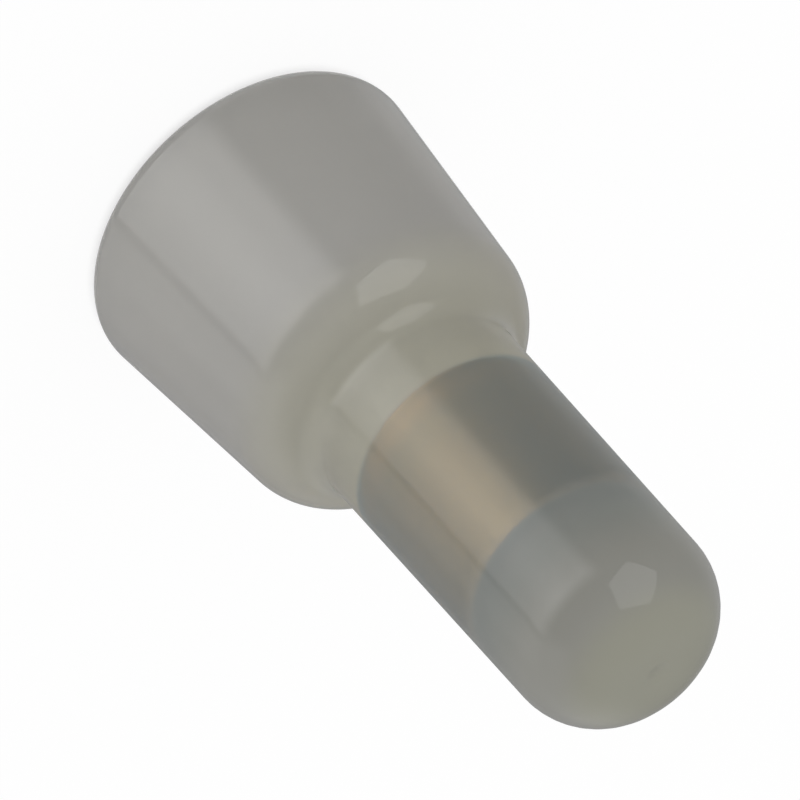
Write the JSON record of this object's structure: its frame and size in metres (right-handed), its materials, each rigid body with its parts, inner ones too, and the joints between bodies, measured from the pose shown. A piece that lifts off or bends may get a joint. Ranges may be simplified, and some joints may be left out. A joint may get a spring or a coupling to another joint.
{
  "type": "closed end splice connector",
  "caption": "Closed end splice connector: a translucent moulded cap with a flared skirt and a rounded closed end, holding a metal crimp sleeve that joins the wires pushed into it.",
  "frame": {"origin": "centre of the mouth, in the plane of the rim that the part stands on", "axes": "+Z along the axis, from the mouth to the closed end; the part is round, so X and Y are any two square directions"},
  "size_m": [0.0128, 0.0128, 0.0252],
  "materials": {
    "nylon": "gloss",
    "copper": "satin"
  },
  "bodies": {
    "root": {"insulating_cap": "nylon", "crimp_sleeve": "copper"}
  },
  "joints": []
}
